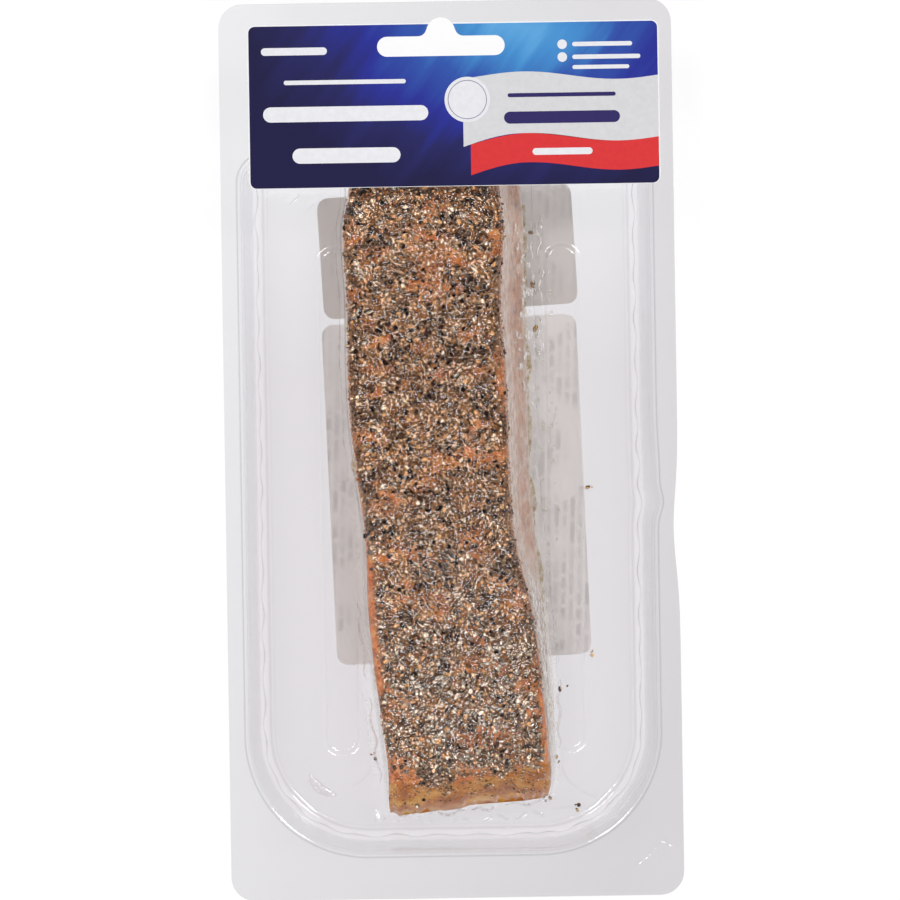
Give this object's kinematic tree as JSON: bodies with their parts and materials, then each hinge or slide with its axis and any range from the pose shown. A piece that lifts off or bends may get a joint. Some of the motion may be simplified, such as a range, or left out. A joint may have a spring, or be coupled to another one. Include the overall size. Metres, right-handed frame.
{
  "type": "hot smoked salmon fillet in a skin pack",
  "caption": "Pepper-crusted hot smoked salmon fillet, vacuum skin packed in a clear shallow tray with a printed header label and a hang slot; lies flat, shown side up.",
  "frame": {"origin": "under the middle of the pack's outline, on the surface that its back labels lie on", "axes": "+X to the right and +Y to the header and hang slot as seen from the front, +Z out of the front of the pack"},
  "size_m": [0.1132, 0.2242, 0.0271],
  "materials": {
    "clear_tray": "clear thermoformed sheet, gloss",
    "clear_film": "clear vacuum skin film, gloss",
    "peppered_salmon": "moist orange flesh under a crust of cracked black and cream pepper",
    "printed_label": "gloss print in navy, silver and red fields",
    "label_paper": "matt white label paper"
  },
  "bodies": {
    "root": {"tray": "clear_tray", "skin_film": "clear_film", "salmon_fillet": "peppered_salmon", "header_label": "printed_label", "back_label_upper": "label_paper", "back_label_lower": "label_paper"}
  },
  "joints": []
}
